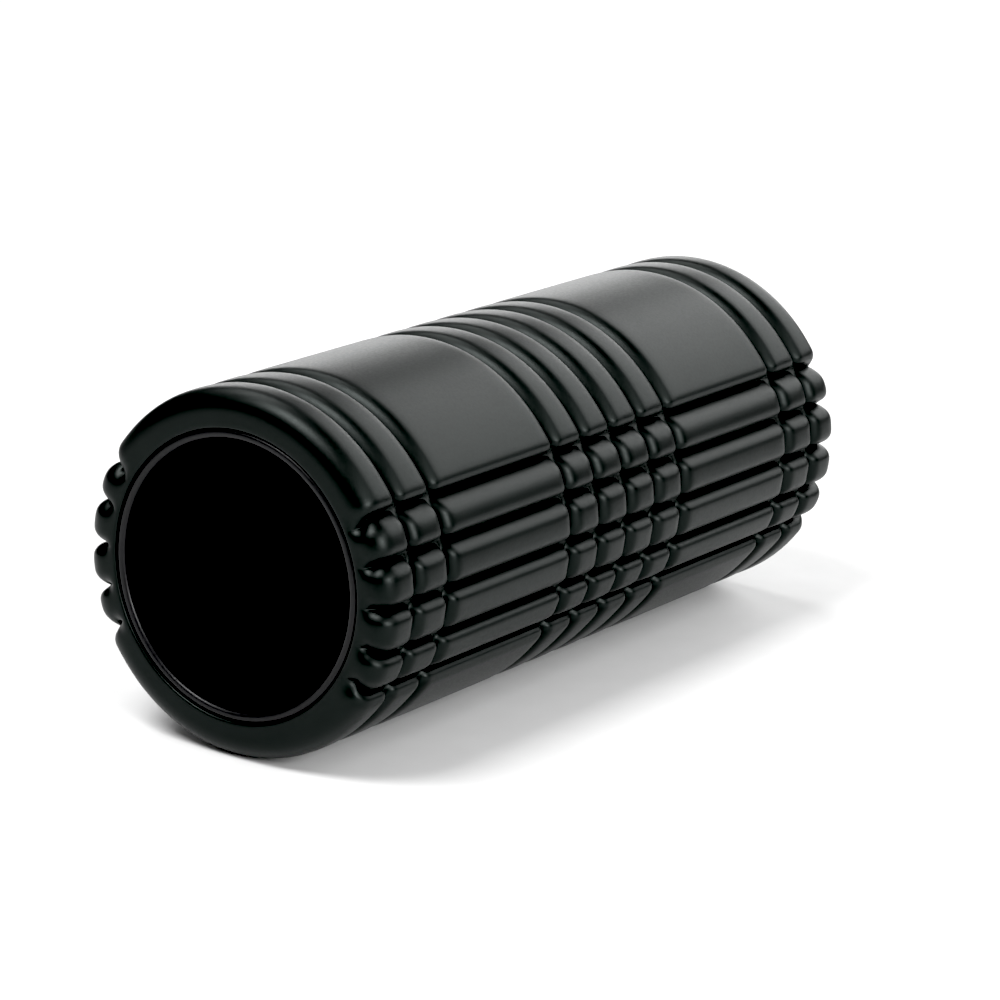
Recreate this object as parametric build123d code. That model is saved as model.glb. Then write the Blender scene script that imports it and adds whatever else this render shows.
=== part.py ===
from build123d import *

import os
from math import sqrt

# Foam roller: a moulded foam cover bonded round a rigid, hollow core tube that is open at both ends.
#
# The roller lies along X on the floor plane z = 0, with the origin under its middle. Each piece is drawn
# about the X axis and then lifted onto the floor. Two smooth zones, above and below, alternate with two
# block zones, at +Y and -Y. Ring grooves go all the way round and part the foam into bands. In the block
# zones row grooves run from end to end as well: they cut the narrow bands into blocks and the wide bands
# into ribs. The mould opens along Y, so the row grooves go straight in along Y, at a few heights.
#
# Sizes are in millimetres and degrees.

# Overall
LENGTH = 324.0
DIAMETER = 140.0

# Foam cover
FOAM_THICKNESS = 14.75
FOAM_END_RADIUS = 7.5  # rounding between the outside and each end face
FOAM_LIP_RADIUS = 1.0  # rounding of the cover's inner edge, beside the core

# Adhesive between the cover and the core
BOND_THICKNESS = 0.25
BOND_SETBACK = 6.0  # the adhesive stops this far inside the core's ends

# Core tube
CORE_WALL = 3.5
CORE_RECESS = 0.5  # how far each end of the core sits inside the cover's end face
CORE_EDGE_RADIUS = 1.5

# Tread: bands along the length. The wide bands take up what the others leave.
CENTRE_BAND = 20.0
CENTRE_BANDS_PER_SIDE = 2  # narrow bands between the middle and a wide band
OUTER_BAND = 21.0  # the narrow band between a wide band and an end band
END_BAND = 19.5

# Tread: heights of the rows, two above the axis and two below it in each block zone
INNER_ROW = 17.5
OUTER_ROW = 15.5

# Grooves
ROW_DEPTH = 6.5
RING_DEPTH = 5.0
GROOVE_FLOOR = 0.6  # width of a groove's flat floor
RING_SHOULDER_RADIUS = 5.5  # rounding of the foam beside a ring groove, less where a groove is shallow
SHOULDER_WALL = 0.5  # upright part of a ring groove's wall, under its shoulder
ROW_MOUTH = 8.0  # width of a row groove at the cover's surface
CUTTER_REACH = 4.0  # how far a cutter stands out of the foam

OUTER_RADIUS = DIAMETER / 2
FOAM_INNER_RADIUS = OUTER_RADIUS - FOAM_THICKNESS
CORE_OUTER_RADIUS = FOAM_INNER_RADIUS - BOND_THICKNESS
CORE_INNER_RADIUS = CORE_OUTER_RADIUS - CORE_WALL
CORE_LENGTH = LENGTH - 2 * CORE_RECESS
BOND_LENGTH = CORE_LENGTH - 2 * BOND_SETBACK


def wall_section(inner_radius, outer_radius, length):
    """Half section of a plain tube: x is along the roller's axis and y is the distance from it."""
    return Pos(0, (inner_radius + outer_radius) / 2) * Rectangle(length, outer_radius - inner_radius)


def outer_corners(section):
    """The corners of a half section that are furthest from the axis."""
    return section.vertices().group_by(Axis.Y)[-1]


def inner_corners(section):
    """The corners of a half section that are nearest to the axis."""
    return section.vertices().group_by(Axis.Y)[0]


def round_bar(section):
    """Turns a half section into a body about X and lifts it onto the floor plane."""
    return Pos(0, 0, OUTER_RADIUS) * revolve(section, Axis.X, 360)


def ring_groove_places():
    """Places of the ring grooves along the axis, from the middle outwards and on both sides."""
    centre = [CENTRE_BAND * i for i in range(1, CENTRE_BANDS_PER_SIDE + 1)]
    outermost = LENGTH / 2 - END_BAND
    one_side = [*centre, outermost - OUTER_BAND, outermost]
    return [0.0, *one_side, *(-place for place in one_side)]


def row_groove_heights():
    """Heights of the row grooves above the axis: one more than the rows in each block zone."""
    outermost = INNER_ROW + OUTER_ROW
    return [-outermost, -INNER_ROW, 0.0, INNER_ROW, outermost]


def cover_section():
    """Half section of the cover: its wall with a rounded ring groove at each place."""
    section = wall_section(FOAM_INNER_RADIUS, OUTER_RADIUS, LENGTH)
    slot = Pos(0, OUTER_RADIUS) * Rectangle(GROOVE_FLOOR, 2 * RING_DEPTH)
    section -= [Pos(place, 0) * slot for place in ring_groove_places()]
    shoulders = outer_corners(section).sort_by(Axis.X)[1:-1]
    section = fillet(shoulders, min(RING_SHOULDER_RADIUS, RING_DEPTH - SHOULDER_WALL))
    across = outer_corners(section).sort_by(Axis.X)
    section = fillet([across[0], across[-1]], FOAM_END_RADIUS)
    return fillet(inner_corners(section), FOAM_LIP_RADIUS)


def row_cutter(height):
    """Cutter for one row groove at +Y, at a height above the axis, from end to end."""
    surface = sqrt(OUTER_RADIUS**2 - height**2)
    floor = surface - ROW_DEPTH
    reach = OUTER_RADIUS + CUTTER_REACH
    floor_half = GROOVE_FLOOR / 2
    flare = (ROW_MOUTH / 2 - floor_half) / ROW_DEPTH
    mouth_half = floor_half + flare * (reach - floor)
    outline = Polyline(
        (floor, height - floor_half),
        (reach, height - mouth_half),
        (reach, height + mouth_half),
        (floor, height + floor_half),
        close=True,
    )
    return extrude(Plane.YZ * make_face(outline), LENGTH / 2 + CUTTER_REACH, both=True)


def row_cutters():
    """The cutters for both block zones, lifted to the roller's height."""
    one_side = [row_cutter(height) for height in row_groove_heights()]
    both_sides = [*one_side, *(Rot(0, 0, 180) * cutter for cutter in one_side)]
    return [Pos(0, 0, OUTER_RADIUS) * cutter for cutter in both_sides]


def foam_cover():
    """The moulded cover: a rounded sleeve with its ring grooves and row grooves."""
    return round_bar(cover_section()) - row_cutters()


def bond_film():
    """The layer of adhesive that holds the cover to the core."""
    return round_bar(wall_section(CORE_OUTER_RADIUS, FOAM_INNER_RADIUS, BOND_LENGTH))


def core_tube():
    """The rigid tube that carries the load, open from end to end."""
    section = wall_section(CORE_INNER_RADIUS, CORE_OUTER_RADIUS, CORE_LENGTH)
    return round_bar(fillet(section.vertices(), CORE_EDGE_RADIUS))


PIECES = {
    "foam_cover": foam_cover,
    "bond_film": bond_film,
    "core_tube": core_tube,
}

os.makedirs("parts", exist_ok=True)
for name, make in PIECES.items():
    export_step(make(), f"parts/{name}.step")
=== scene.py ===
"""A foam roller: its moulded foam cover, its core tube and the adhesive between them, in a plain studio."""
import logging
import math
from dataclasses import dataclass, field
from enum import Enum

import bmesh
import bpy
from mathutils import Matrix, Vector


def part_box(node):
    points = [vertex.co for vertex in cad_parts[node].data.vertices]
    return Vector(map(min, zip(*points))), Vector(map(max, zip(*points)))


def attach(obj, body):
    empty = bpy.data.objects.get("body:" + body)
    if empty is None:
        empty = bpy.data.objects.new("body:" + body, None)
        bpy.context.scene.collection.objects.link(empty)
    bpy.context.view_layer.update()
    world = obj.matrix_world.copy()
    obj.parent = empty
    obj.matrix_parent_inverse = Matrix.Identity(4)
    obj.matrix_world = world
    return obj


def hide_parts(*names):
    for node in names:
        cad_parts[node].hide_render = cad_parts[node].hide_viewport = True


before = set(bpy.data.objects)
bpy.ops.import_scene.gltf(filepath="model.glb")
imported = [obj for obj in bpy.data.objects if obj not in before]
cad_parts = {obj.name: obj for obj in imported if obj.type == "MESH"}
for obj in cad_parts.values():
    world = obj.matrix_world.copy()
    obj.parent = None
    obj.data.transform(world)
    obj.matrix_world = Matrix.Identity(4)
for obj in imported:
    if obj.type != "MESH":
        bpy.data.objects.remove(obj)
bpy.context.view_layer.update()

LOG = logging.getLogger("foam_roller")
MM = 0.001
ROOT = "root"
# The part of a noise texture's 0 to 1 range that it mostly stays in.
NOISE_LOW = 0.3
NOISE_HIGH = 0.7


class Slot(Enum):
    """The record's material slots."""

    FOAM = "foam"
    ADHESIVE = "adhesive"
    CORE = "core"


class Weave:
    """A small hand for building the node tree of one material.

    Args:
        name: Name of the material.
    """

    def __init__(self, name: str) -> None:
        """Makes an empty material with its shader and its output."""
        self.material = bpy.data.materials.new(name)
        self.material.use_nodes = True
        self.tree = self.material.node_tree
        self.tree.nodes.clear()
        self.shader = self.node("ShaderNodeBsdfPrincipled")
        output = self.node("ShaderNodeOutputMaterial")
        self.link(self.shader, "BSDF", output, "Surface")

    def node(self, kind: str, **settings: object) -> bpy.types.Node:
        """Adds a node.

        Args:
            kind: The node's type name.
            settings: Attributes of the node to set.

        Returns:
            The new node.
        """
        made = self.tree.nodes.new(kind)
        for key, value in settings.items():
            setattr(made, key, value)
        return made

    def link(self, source: bpy.types.Node, out: str | int, target: bpy.types.Node, into: str | int) -> None:
        """Links an output socket to an input socket."""
        self.tree.links.new(source.outputs[out], target.inputs[into])

    def place(self, scale: tuple[float, float, float] = (1.0, 1.0, 1.0)) -> bpy.types.Node:
        """Adds Object coordinates with a Mapping node.

        Args:
            scale: How much the pattern is stretched along each axis.

        Returns:
            The Mapping node.
        """
        coordinates = self.node("ShaderNodeTexCoord")
        mapping = self.node("ShaderNodeMapping")
        mapping.inputs["Scale"].default_value = scale
        self.link(coordinates, "Object", mapping, "Vector")
        return mapping

    def noise(self, where: bpy.types.Node, scale: float, detail: float, roughness: float) -> bpy.types.Node:
        """Adds a noise texture read at the mapped place.

        Args:
            where: The Mapping node.
            scale: Features per metre.
            detail: Octaves.
            roughness: Strength of the finer octaves.

        Returns:
            The Noise Texture node.
        """
        made = self.node("ShaderNodeTexNoise")
        made.inputs["Scale"].default_value = scale
        made.inputs["Detail"].default_value = detail
        made.inputs["Roughness"].default_value = roughness
        self.link(where, "Vector", made, "Vector")
        return made

    def spread(self, source: bpy.types.Node, out: str, low: float, high: float) -> bpy.types.Node:
        """Maps a noise value to a range.

        Args:
            source: The node that gives the value.
            out: Its output socket.
            low: Value at the noise's low end.
            high: Value at its high end.

        Returns:
            The Map Range node.
        """
        made = self.node("ShaderNodeMapRange")
        made.inputs["From Min"].default_value = NOISE_LOW
        made.inputs["From Max"].default_value = NOISE_HIGH
        made.inputs["To Min"].default_value = low
        made.inputs["To Max"].default_value = high
        self.link(source, out, made, "Value")
        return made

    def tint(self, source: bpy.types.Node, out: str, dark: tuple, light: tuple) -> bpy.types.Node:
        """Turns a value into a colour between two.

        Args:
            source: The node that gives the value.
            out: Its output socket.
            dark: Linear colour at the low end.
            light: Linear colour at the high end.

        Returns:
            The Color Ramp node.
        """
        made = self.node("ShaderNodeValToRGB")
        made.color_ramp.elements[0].position = NOISE_LOW
        made.color_ramp.elements[0].color = (*dark, 1.0)
        made.color_ramp.elements[1].position = NOISE_HIGH
        made.color_ramp.elements[1].color = (*light, 1.0)
        self.link(source, out, made, "Fac")
        return made

    def bump(
        self, source: bpy.types.Node, out: str, distance: float, under: bpy.types.Node | None = None
    ) -> bpy.types.Node:
        """Raises the surface by a texture.

        Args:
            source: The node that gives the height.
            out: Its output socket.
            distance: Height in metres.
            under: A bump that this one lies on.

        Returns:
            The Bump node.
        """
        made = self.node("ShaderNodeBump")
        made.inputs["Strength"].default_value = 1.0
        made.inputs["Distance"].default_value = distance
        self.link(source, out, made, "Height")
        if under is not None:
            self.link(under, "Normal", made, "Normal")
        return made


@dataclass(frozen=True)
class FoamFinish:
    """Black closed-cell foam with a fine, satin moulded skin."""

    dark: tuple[float, float, float] = (0.0030, 0.0036, 0.0033)
    light: tuple[float, float, float] = (0.0046, 0.0054, 0.0050)
    smooth: float = 0.36
    rough: float = 0.44
    grain_per_metre: float = 900.0
    grain_height: float = 0.000012
    swell_per_metre: float = 45.0
    swell_height: float = 0.00005
    ior: float = 1.45
    specular: float = 0.30
    sheen: float = 0.012
    sheen_roughness: float = 0.35
    gloss_tint: tuple[float, float, float] = (0.90, 1.0, 0.97)

    def make(self) -> bpy.types.Material:
        """Builds the foam's material.

        Returns:
            The material.
        """
        weave = Weave("foam_skin")
        where = weave.place()
        grain = weave.noise(where, self.grain_per_metre, detail=3.0, roughness=0.6)
        swell = weave.noise(where, self.swell_per_metre, detail=2.0, roughness=0.5)
        colour = weave.tint(swell, "Fac", self.dark, self.light)
        weave.link(colour, "Color", weave.shader, "Base Color")
        gloss = weave.spread(grain, "Fac", self.smooth, self.rough)
        weave.link(gloss, "Result", weave.shader, "Roughness")
        low = weave.bump(swell, "Fac", self.swell_height)
        fine = weave.bump(grain, "Fac", self.grain_height, low)
        weave.link(fine, "Normal", weave.shader, "Normal")
        weave.shader.inputs["IOR"].default_value = self.ior
        weave.shader.inputs["Specular IOR Level"].default_value = self.specular
        weave.shader.inputs["Specular Tint"].default_value = (*self.gloss_tint, 1.0)
        weave.shader.inputs["Sheen Weight"].default_value = self.sheen
        weave.shader.inputs["Sheen Roughness"].default_value = self.sheen_roughness
        weave.shader.inputs["Sheen Tint"].default_value = (*self.gloss_tint, 1.0)
        return weave.material


@dataclass(frozen=True)
class CoreFinish:
    """Black extruded plastic with faint draw lines along its length."""

    colour: tuple[float, float, float] = (0.006, 0.006, 0.0065)
    light_share: float = 1.5
    roughness: float = 0.32
    roughness_spread: float = 0.08
    stretch: tuple[float, float, float] = (0.02, 1.0, 1.0)
    lines_per_metre: float = 700.0
    line_height: float = 0.00002
    ior: float = 1.48
    specular: float = 0.34

    def make(self) -> bpy.types.Material:
        """Builds the core's material.

        Returns:
            The material.
        """
        weave = Weave("core_plastic")
        where = weave.place(self.stretch)
        draw = weave.noise(where, self.lines_per_metre, detail=2.0, roughness=0.5)
        light = tuple(self.light_share * c for c in self.colour)
        colour = weave.tint(draw, "Fac", self.colour, light)
        weave.link(colour, "Color", weave.shader, "Base Color")
        gloss = weave.spread(draw, "Fac", self.roughness, self.roughness + self.roughness_spread)
        weave.link(gloss, "Result", weave.shader, "Roughness")
        fine = weave.bump(draw, "Fac", self.line_height)
        weave.link(fine, "Normal", weave.shader, "Normal")
        weave.shader.inputs["IOR"].default_value = self.ior
        weave.shader.inputs["Specular IOR Level"].default_value = self.specular
        return weave.material


@dataclass(frozen=True)
class AdhesiveFinish:
    """Dried amber contact adhesive."""

    dark: tuple[float, float, float] = (0.20, 0.12, 0.045)
    light: tuple[float, float, float] = (0.34, 0.23, 0.10)
    streaks_per_metre: float = 120.0
    roughness: float = 0.45
    roughness_spread: float = 0.25

    def make(self) -> bpy.types.Material:
        """Builds the adhesive's material.

        Returns:
            The material.
        """
        weave = Weave("dried_adhesive")
        where = weave.place()
        streaks = weave.noise(where, self.streaks_per_metre, detail=4.0, roughness=0.6)
        colour = weave.tint(streaks, "Fac", self.dark, self.light)
        weave.link(colour, "Color", weave.shader, "Base Color")
        gloss = weave.spread(streaks, "Fac", self.roughness, self.roughness + self.roughness_spread)
        weave.link(gloss, "Result", weave.shader, "Roughness")
        return weave.material


def new_piece(name: str, bm: bmesh.types.BMesh, material: bpy.types.Material) -> bpy.types.Object:
    """Turns a finished bmesh into an object at the origin.

    Args:
        name: Name of the object.
        bm: The mesh; it is freed here.
        material: What the piece is made of.

    Returns:
        The new object.
    """
    for face in bm.faces:
        face.smooth = True
    mesh = bpy.data.meshes.new(name)
    bm.to_mesh(mesh)
    bm.free()
    mesh.materials.append(material)
    piece = bpy.data.objects.new(name, mesh)
    bpy.context.scene.collection.objects.link(piece)
    return piece


def add_outline(bm: bmesh.types.BMesh, points: list[tuple[float, float]], axis_height: float) -> list:
    """Adds a closed half section of a turned piece, in the upright plane through its axis.

    Args:
        bm: The bmesh to add to.
        points: Pairs of place along the axis and distance from it.
        axis_height: Height of the axis.

    Returns:
        The section's vertices and edges.
    """
    verts = [bm.verts.new((x, 0.0, axis_height + r)) for x, r in points]
    edges = [bm.edges.new((a, b)) for a, b in zip(verts, [*verts[1:], verts[0]])]
    return verts + edges


def arc(
    centre: tuple[float, float], radius: float, start: float, end: float, steps: int
) -> list[tuple[float, float]]:
    """Points of an arc, ends included.

    Args:
        centre: Centre of the arc.
        radius: Its radius.
        start: Angle of its first point, in degrees.
        end: Angle of its last point, in degrees.
        steps: How many runs it is cut into.

    Returns:
        The points, in order.
    """
    angles = [math.radians(start + (end - start) * i / steps) for i in range(steps + 1)]
    return [(centre[0] + radius * math.cos(a), centre[1] + radius * math.sin(a)) for a in angles]


def spin_about(
    bm: bmesh.types.BMesh, section: list, centre: Vector, angle: float, steps: int, merge: bool = False
) -> dict:
    """Turns a section about a line along X.

    Args:
        bm: The bmesh that holds the section.
        section: Its vertices and edges.
        centre: A point on the line.
        angle: How far to turn, in radians.
        steps: How many runs the turn is cut into.
        merge: Whether the last section joins the first.

    Returns:
        The operator's result, with the last section under "geom_last".
    """
    return bmesh.ops.spin(
        bm, geom=section, cent=centre, axis=(1.0, 0.0, 0.0), angle=angle, steps=steps, use_merge=merge
    )


@dataclass
class Roller:
    """Sizes that the roller's pieces share, read from the frame."""

    half_length: float
    outer_radius: float
    cover_bore: float
    core_radius: float

    @classmethod
    def from_frame(cls) -> "Roller":
        """Reads the sizes from the CAD nodes.

        Returns:
            The shared sizes.
        """
        low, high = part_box("foam_cover")
        _, bond_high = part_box("bond_film")
        core_low, core_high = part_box("core_tube")
        return cls(
            half_length=(high.x - low.x) / 2,
            outer_radius=(high.z - low.z) / 2,
            cover_bore=bond_high.y,
            core_radius=(core_high.z - core_low.z) / 2,
        )

    @property
    def axis(self) -> Vector:
        """A point on the roller's axis."""
        return Vector((0.0, 0.0, self.outer_radius))


@dataclass
class FoamCover:
    """The moulded cover: bands, blocks and ribs with rounded shoulders, parted by narrow grooves."""

    roller: Roller
    finish: FoamFinish = field(default_factory=FoamFinish)
    end_radius: float = 8.0 * MM
    lip_radius: float = 1.0 * MM
    narrow_band: float = 20.0 * MM
    outer_narrow_band: float = 21.0 * MM
    end_band: float = 19.5 * MM
    centre_bands_per_side: int = 2
    inner_row: float = 17.5 * MM
    outer_row: float = 15.5 * MM
    row_depth: float = 6.5 * MM
    row_shoulder: float = 6.0 * MM
    ring_depth: float = 5.0 * MM
    ring_shoulder: float = 5.5 * MM
    edge_shoulder: float = 7.0 * MM
    shoulder_turn: float = math.radians(70.0)
    groove_floor: float = 0.4 * MM
    corner_share: float = 0.7
    draw_angle: float = math.radians(35.0)
    notch_reach: float = 4.0 * MM
    notch_share: float = 0.7
    notch_steps: int = 3
    shoulder_steps: int = 5
    end_steps: int = 6
    lip_steps: int = 3
    plain_step: float = 8.0 * MM
    step_slack: float = 0.25
    merge_distance: float = 0.02 * MM
    bore_stations: tuple[float, ...] = (0.8, 0.3, -0.3, -0.8)

    def ring_places(self) -> list[float]:
        """Places of the ring grooves along the axis, in order."""
        centre = [self.narrow_band * i for i in range(1, self.centre_bands_per_side + 1)]
        outermost = self.roller.half_length - self.end_band
        one_side = [*centre, outermost - self.outer_narrow_band, outermost]
        return sorted([0.0, *one_side, *(-place for place in one_side)])

    def row_heights(self) -> list[float]:
        """Heights of the row grooves above the axis, in order."""
        outermost = self.inner_row + self.outer_row
        return [-outermost, -self.inner_row, 0.0, self.inner_row, outermost]

    def _offsets(self, width: float) -> list[float]:
        """Distances from a groove's middle line at which the mesh has a line, for a shoulder of some width."""
        turns = [math.pi / 2 * i / self.shoulder_steps for i in range(self.shoulder_steps + 1)]
        return [0.0, *(self.groove_floor / 2 + width * (1.0 - math.cos(turn)) for turn in turns)]

    def _filled(self, fixed: list[float], low: float, high: float, step: float) -> list[float]:
        """Adds stations wherever the gap between two is wide.

        Args:
            fixed: The stations that have to be there.
            low: Where the stretch starts.
            high: Where the stretch ends.
            step: Widest gap, about.

        Returns:
            All the stations in order, without low and high.
        """
        marks = sorted({round(mark, 9) for mark in fixed if low < mark < high})
        stations: list[float] = []
        for start, end in zip([low, *marks], [*marks, high]):
            parts = max(1, math.ceil((end - start) / step - self.step_slack))
            stations += [start + (end - start) * i / parts for i in range(1, parts)] + [end]
        return stations[:-1]

    def _ring_stations(self, low: float, high: float) -> list[float]:
        """Places along the axis, between the rounded ends, where the mesh has a line."""
        offsets = self._offsets(self.ring_shoulder)
        fixed = [place + side * offset for place in self.ring_places() for offset in offsets for side in (-1, 1)]
        return self._filled(fixed, low, high, self.plain_step)

    def _turns(self) -> list[float]:
        """Angles about the axis, from the top and once round, where the mesh has a line."""
        heights = self.row_heights()
        marks = [h + side * o for h in heights for o in self._offsets(self.row_shoulder) for side in (-1, 1)]
        marks += [side * (heights[-1] + o) for o in self._offsets(self.edge_shoulder) for side in (-1, 1)]
        radius = self.roller.outer_radius
        from_top = [math.acos(mark / radius) for mark in marks]
        fixed = [*from_top, *(2 * math.pi - turn for turn in from_top)]
        return [0.0, *self._filled(fixed, 0.0, 2 * math.pi, self.plain_step / radius), 2 * math.pi]

    def _section(self) -> list[tuple[float, float]]:
        """Half section of the cover with no grooves yet, its outer line cut at every station."""
        r = self.roller
        end, lip = self.end_radius, self.lip_radius
        near = arc((-r.half_length + end, r.outer_radius - end), end, 180.0, 90.0, self.end_steps)
        far = arc((r.half_length - end, r.outer_radius - end), end, 90.0, 0.0, self.end_steps)
        crown = self._ring_stations(near[-1][0], far[0][0])
        far_lip = arc((r.half_length - lip, r.cover_bore + lip), lip, 0.0, -90.0, self.lip_steps)
        near_lip = arc((-r.half_length + lip, r.cover_bore + lip), lip, 270.0, 180.0, self.lip_steps)
        inward = range(1, self.notch_steps + 1)
        face = [r.outer_radius - end - self.notch_reach * i / self.notch_steps for i in inward]
        bore = [(x * r.half_length, r.cover_bore) for x in self.bore_stations]
        return [
            *near,
            *((x, r.outer_radius) for x in crown),
            *far,
            *((r.half_length, radius) for radius in face),
            *far_lip,
            *bore,
            *near_lip,
            *((-r.half_length, radius) for radius in reversed(face)),
        ]

    def _drop(self, inside: float) -> float:
        """Share of a groove's depth, at a share of its shoulder's width in from the groove."""
        across = 1.0 - min(max(inside, 0.0), 1.0)
        turn = math.asin(across * math.sin(self.shoulder_turn))
        return (1.0 - math.cos(turn)) / (1.0 - math.cos(self.shoulder_turn))

    def _sink(self, x: float, height: float) -> float:
        """How far the grooves take the surface down at a place.

        Args:
            x: Place along the axis.
            height: Height above the axis.

        Returns:
            The depth under the crown.
        """
        half_floor = self.groove_floor / 2
        ring = (min(abs(x - place) for place in self.ring_places()) - half_floor) / self.ring_shoulder
        heights = self.row_heights()
        width = self.edge_shoulder if abs(height) > heights[-1] else self.row_shoulder
        row = (min(abs(height - place) for place in heights) - half_floor) / width
        ring_corner, row_corner = max(0.0, self.corner_share - ring), max(0.0, self.corner_share - row)
        if ring_corner > 0.0 and row_corner > 0.0:
            depth = ring_corner * self.ring_depth + row_corner * self.row_depth
            depth /= ring_corner + row_corner
            return depth * self._drop(self.corner_share - math.hypot(ring_corner, row_corner))
        return max(self.ring_depth * self._drop(ring), self.row_depth * self._drop(row))

    def _mould(self, bm: bmesh.types.BMesh) -> None:
        """Sinks the grooves into the turned sleeve: straight in at the sides, towards the axis above and below.

        Round the ends the grooves turn with the rounding and run out on the end face as short notches.
        """
        axis, outer = self.roller.axis, self.roller.outer_radius
        end_face = outer - self.end_radius
        for vert in bm.verts:
            out, height = abs(vert.co.y), vert.co.z - axis.z
            on_face = (math.hypot(out, height) - end_face) / self.notch_reach + 1.0
            if on_face <= 0.0:
                continue
            tilt = math.atan2(abs(height), out)
            sink = self._sink(vert.co.x, math.copysign(outer * math.sin(tilt), height)) * min(on_face, 1.0)
            along = max(0.0, abs(vert.co.x) - self.roller.half_length + self.end_radius) / self.end_radius
            inward = sink * math.sqrt(max(0.0, 1.0 - along * along))
            lean = max(0.0, tilt - self.draw_angle) * (math.pi / 2) / (math.pi / 2 - self.draw_angle)
            vert.co.x -= math.copysign(sink * along * self.notch_share, vert.co.x)
            vert.co.y -= math.copysign(inward * math.cos(lean), vert.co.y)
            vert.co.z -= math.copysign(inward * math.sin(lean), height)

    def build(self) -> bpy.types.Object:
        """Builds and dresses the cover.

        Returns:
            The cover's object.
        """
        bm = bmesh.new()
        last = add_outline(bm, self._section(), self.roller.axis.z)
        turns = self._turns()
        for start, end in zip(turns, turns[1:]):
            last = spin_about(bm, last, self.roller.axis, end - start, steps=1)["geom_last"]
        bmesh.ops.remove_doubles(bm, verts=bm.verts, dist=self.merge_distance)
        self._mould(bm)
        bmesh.ops.recalc_face_normals(bm, faces=bm.faces)
        cover = new_piece("cover_moulded", bm, self.finish.make())
        soften = cover.modifiers.new("soften", "SUBSURF")
        soften.levels = soften.render_levels = 1
        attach(cover, ROOT)
        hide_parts("foam_cover")
        LOG.info("cover: %d faces before smoothing", len(cover.data.polygons))
        return cover


@dataclass
class CoreTube:
    """The rigid tube inside the cover."""

    roller: Roller
    finish: CoreFinish = field(default_factory=CoreFinish)
    wall: float = 3.5 * MM
    recess: float = 0.5 * MM
    edge_radius: float = 1.5 * MM
    edge_steps: int = 5
    turns: int = 160

    def build(self) -> bpy.types.Object:
        """Builds and dresses the tube.

        Returns:
            The tube's object.
        """
        half = self.roller.half_length - self.recess
        outer, edge = self.roller.core_radius, self.edge_radius
        inner = outer - self.wall
        outline = [
            *arc((-half + edge, outer - edge), edge, 180.0, 90.0, self.edge_steps),
            *arc((half - edge, outer - edge), edge, 90.0, 0.0, self.edge_steps),
            *arc((half - edge, inner + edge), edge, 0.0, -90.0, self.edge_steps),
            *arc((-half + edge, inner + edge), edge, 270.0, 180.0, self.edge_steps),
        ]
        bm = bmesh.new()
        section = add_outline(bm, outline, self.roller.axis.z)
        spin_about(bm, section, self.roller.axis, 2 * math.pi, self.turns, merge=True)
        bmesh.ops.recalc_face_normals(bm, faces=bm.faces)
        tube = new_piece("core_extruded", bm, self.finish.make())
        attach(tube, ROOT)
        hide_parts("core_tube")
        LOG.info("core: %d faces", len(tube.data.polygons))
        return tube


@dataclass
class BondFilm:
    """The adhesive between the core and the cover: the CAD node with its own finish."""

    finish: AdhesiveFinish = field(default_factory=AdhesiveFinish)

    def build(self) -> bpy.types.Object:
        """Dresses the CAD node.

        Returns:
            The node's object.
        """
        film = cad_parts["bond_film"]
        film.data.materials.clear()
        film.data.materials.append(self.finish.make())
        return film


@dataclass(frozen=True)
class Panel:
    """A soft panel light that faces the roller.

    The azimuth is the direction to the light about +Z, from +X towards +Y, and the elevation is its height
    above the horizon, both in degrees. The reach is its distance from the roller and the power is in watts.
    """

    name: str
    azimuth: float
    elevation: float
    reach: float
    size: tuple[float, float]
    power: float

    def build(self, target: Vector) -> None:
        """Adds the light to the scene.

        Args:
            target: The point that it faces.
        """
        around, up = math.radians(self.azimuth), math.radians(self.elevation)
        towards = Vector((math.cos(up) * math.cos(around), math.cos(up) * math.sin(around), math.sin(up)))
        data = bpy.data.lights.new(self.name, "AREA")
        data.shape = "RECTANGLE"
        data.size, data.size_y = self.size
        data.energy = self.power
        lamp = bpy.data.objects.new(self.name, data)
        lamp.location = target + towards * self.reach
        lamp.rotation_euler = towards.to_track_quat("Z", "Y").to_euler()
        bpy.context.scene.collection.objects.link(lamp)


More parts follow.
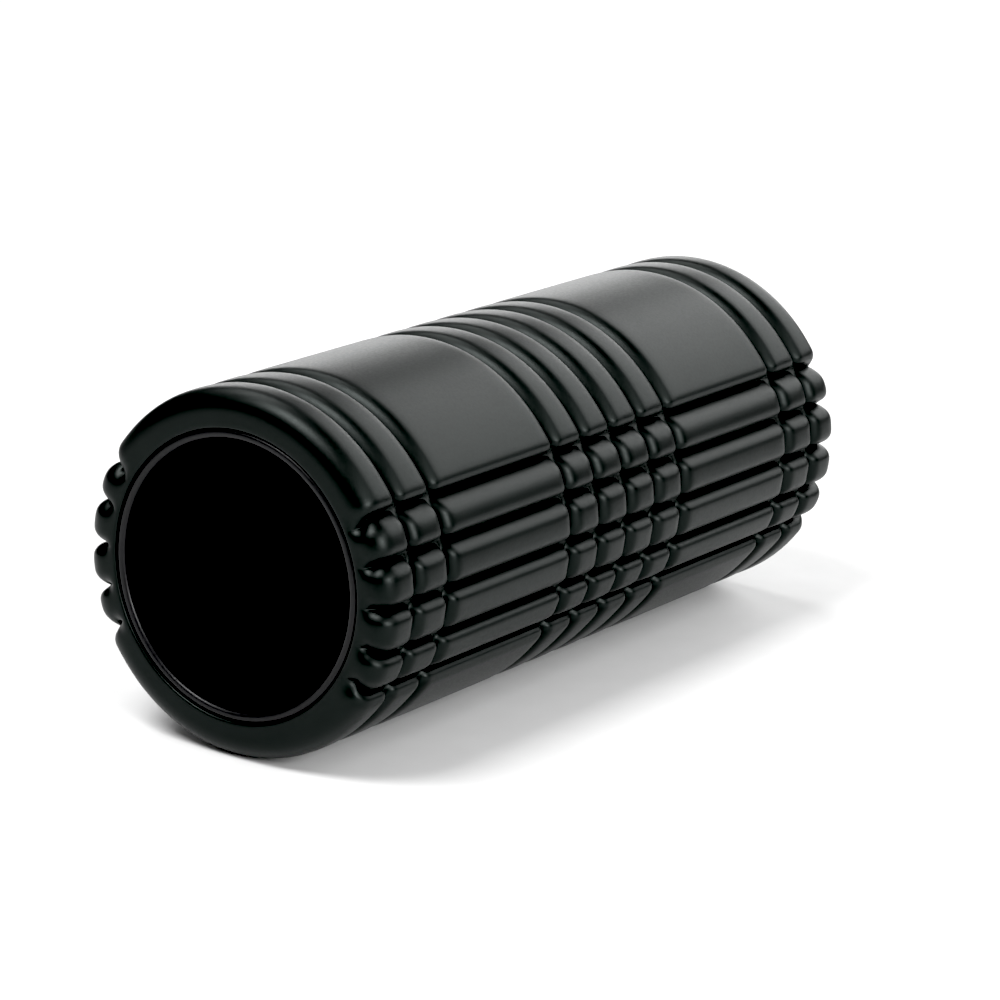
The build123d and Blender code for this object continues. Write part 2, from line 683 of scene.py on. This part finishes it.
@dataclass
class Studio:
    """The floor, the lights and the camera."""

    roller: Roller
    azimuth: float = 33.39
    elevation: float = 15.70
    roll: float = 2.59
    distance: float = 1595.6 * MM
    lens: float = 144.29
    aim: tuple[float, float, float] = (7.95 * MM, -2.85 * MM, 64.42 * MM)
    sensor_width: float = 36.0
    clip: tuple[float, float] = (0.05, 50.0)
    floor_size: float = 14.0
    floor_dark: tuple[float, float, float] = (0.86, 0.86, 0.86)
    floor_light: tuple[float, float, float] = (0.88, 0.88, 0.88)
    floor_roughness: float = 0.9
    world_strength: float = 0.05
    black_point: float = 0.022
    panels: tuple[Panel, ...] = (
        Panel("back", azimuth=30.0, elevation=11.0, reach=3.6, size=(2.6, 1.2), power=36.0),
        Panel("back_right", azimuth=345.0, elevation=32.0, reach=2.6, size=(2.7, 1.6), power=42.0),
        Panel("front_low", azimuth=245.0, elevation=22.0, reach=2.4, size=(0.9, 0.8), power=42.0),
        Panel("front_high", azimuth=275.0, elevation=42.0, reach=2.4, size=(1.4, 1.2), power=12.0),
        Panel("left_high", azimuth=165.0, elevation=58.0, reach=2.4, size=(1.0, 1.0), power=50.0),
        Panel("overhead", azimuth=75.0, elevation=60.0, reach=2.4, size=(1.3, 1.0), power=18.0),
    )

    def _camera(self) -> None:
        """Sets up the camera at its angle."""
        azimuth, elevation = math.radians(self.azimuth), math.radians(self.elevation)
        forward = Vector(
            (math.cos(elevation) * math.cos(azimuth), math.cos(elevation) * math.sin(azimuth), -math.sin(elevation))
        )
        level = Vector((math.sin(azimuth), -math.cos(azimuth), 0.0))
        tilt = Matrix.Rotation(math.radians(-self.roll), 3, forward)
        right = tilt @ level
        up = right.cross(forward)
        pose = Matrix((right, up, -forward)).transposed().to_4x4()
        pose.translation = Vector(self.aim) - forward * self.distance
        data = bpy.data.cameras.new("camera")
        data.sensor_width = self.sensor_width
        data.lens = self.lens
        data.clip_start, data.clip_end = self.clip
        camera = bpy.data.objects.new("camera", data)
        camera.matrix_world = pose
        bpy.context.scene.collection.objects.link(camera)
        bpy.context.scene.camera = camera

    def _floor(self) -> None:
        """Lays the pale floor."""
        bm = bmesh.new()
        bmesh.ops.create_grid(bm, x_segments=1, y_segments=1, size=self.floor_size / 2)
        weave = Weave("studio_paper")
        where = weave.place()
        grain = weave.noise(where, scale=60.0, detail=3.0, roughness=0.5)
        colour = weave.tint(grain, "Fac", self.floor_dark, self.floor_light)
        weave.link(colour, "Color", weave.shader, "Base Color")
        weave.shader.inputs["Roughness"].default_value = self.floor_roughness
        floor = new_piece("floor", bm, weave.material)

    def build(self) -> None:
        """Builds the whole studio."""
        self._camera()
        self._floor()
        for panel in self.panels:
            panel.build(self.roller.axis)
        world = bpy.data.worlds.new("studio")
        world.use_nodes = True
        sky = world.node_tree.nodes["Background"]
        sky.inputs["Color"].default_value = (1.0, 1.0, 1.0, 1.0)
        sky.inputs["Strength"].default_value = self.world_strength
        bpy.context.scene.world = world
        view = bpy.context.scene.view_settings
        view.view_transform = "Standard"
        view.use_curve_mapping = True
        view.curve_mapping.black_level = (self.black_point,) * 3


def main() -> None:
    """Builds the roller's pieces in order, then the studio round them."""
    logging.basicConfig(level=logging.INFO, format="%(name)s: %(message)s")
    roller = Roller.from_frame()
    LOG.info("roller: %s", roller)
    pieces = [FoamCover(roller).build(), CoreTube(roller).build(), BondFilm().build()]
    LOG.info("pieces: %s", [piece.name for piece in pieces])
    Studio(roller).build()


if __name__ == "__main__":
    main()
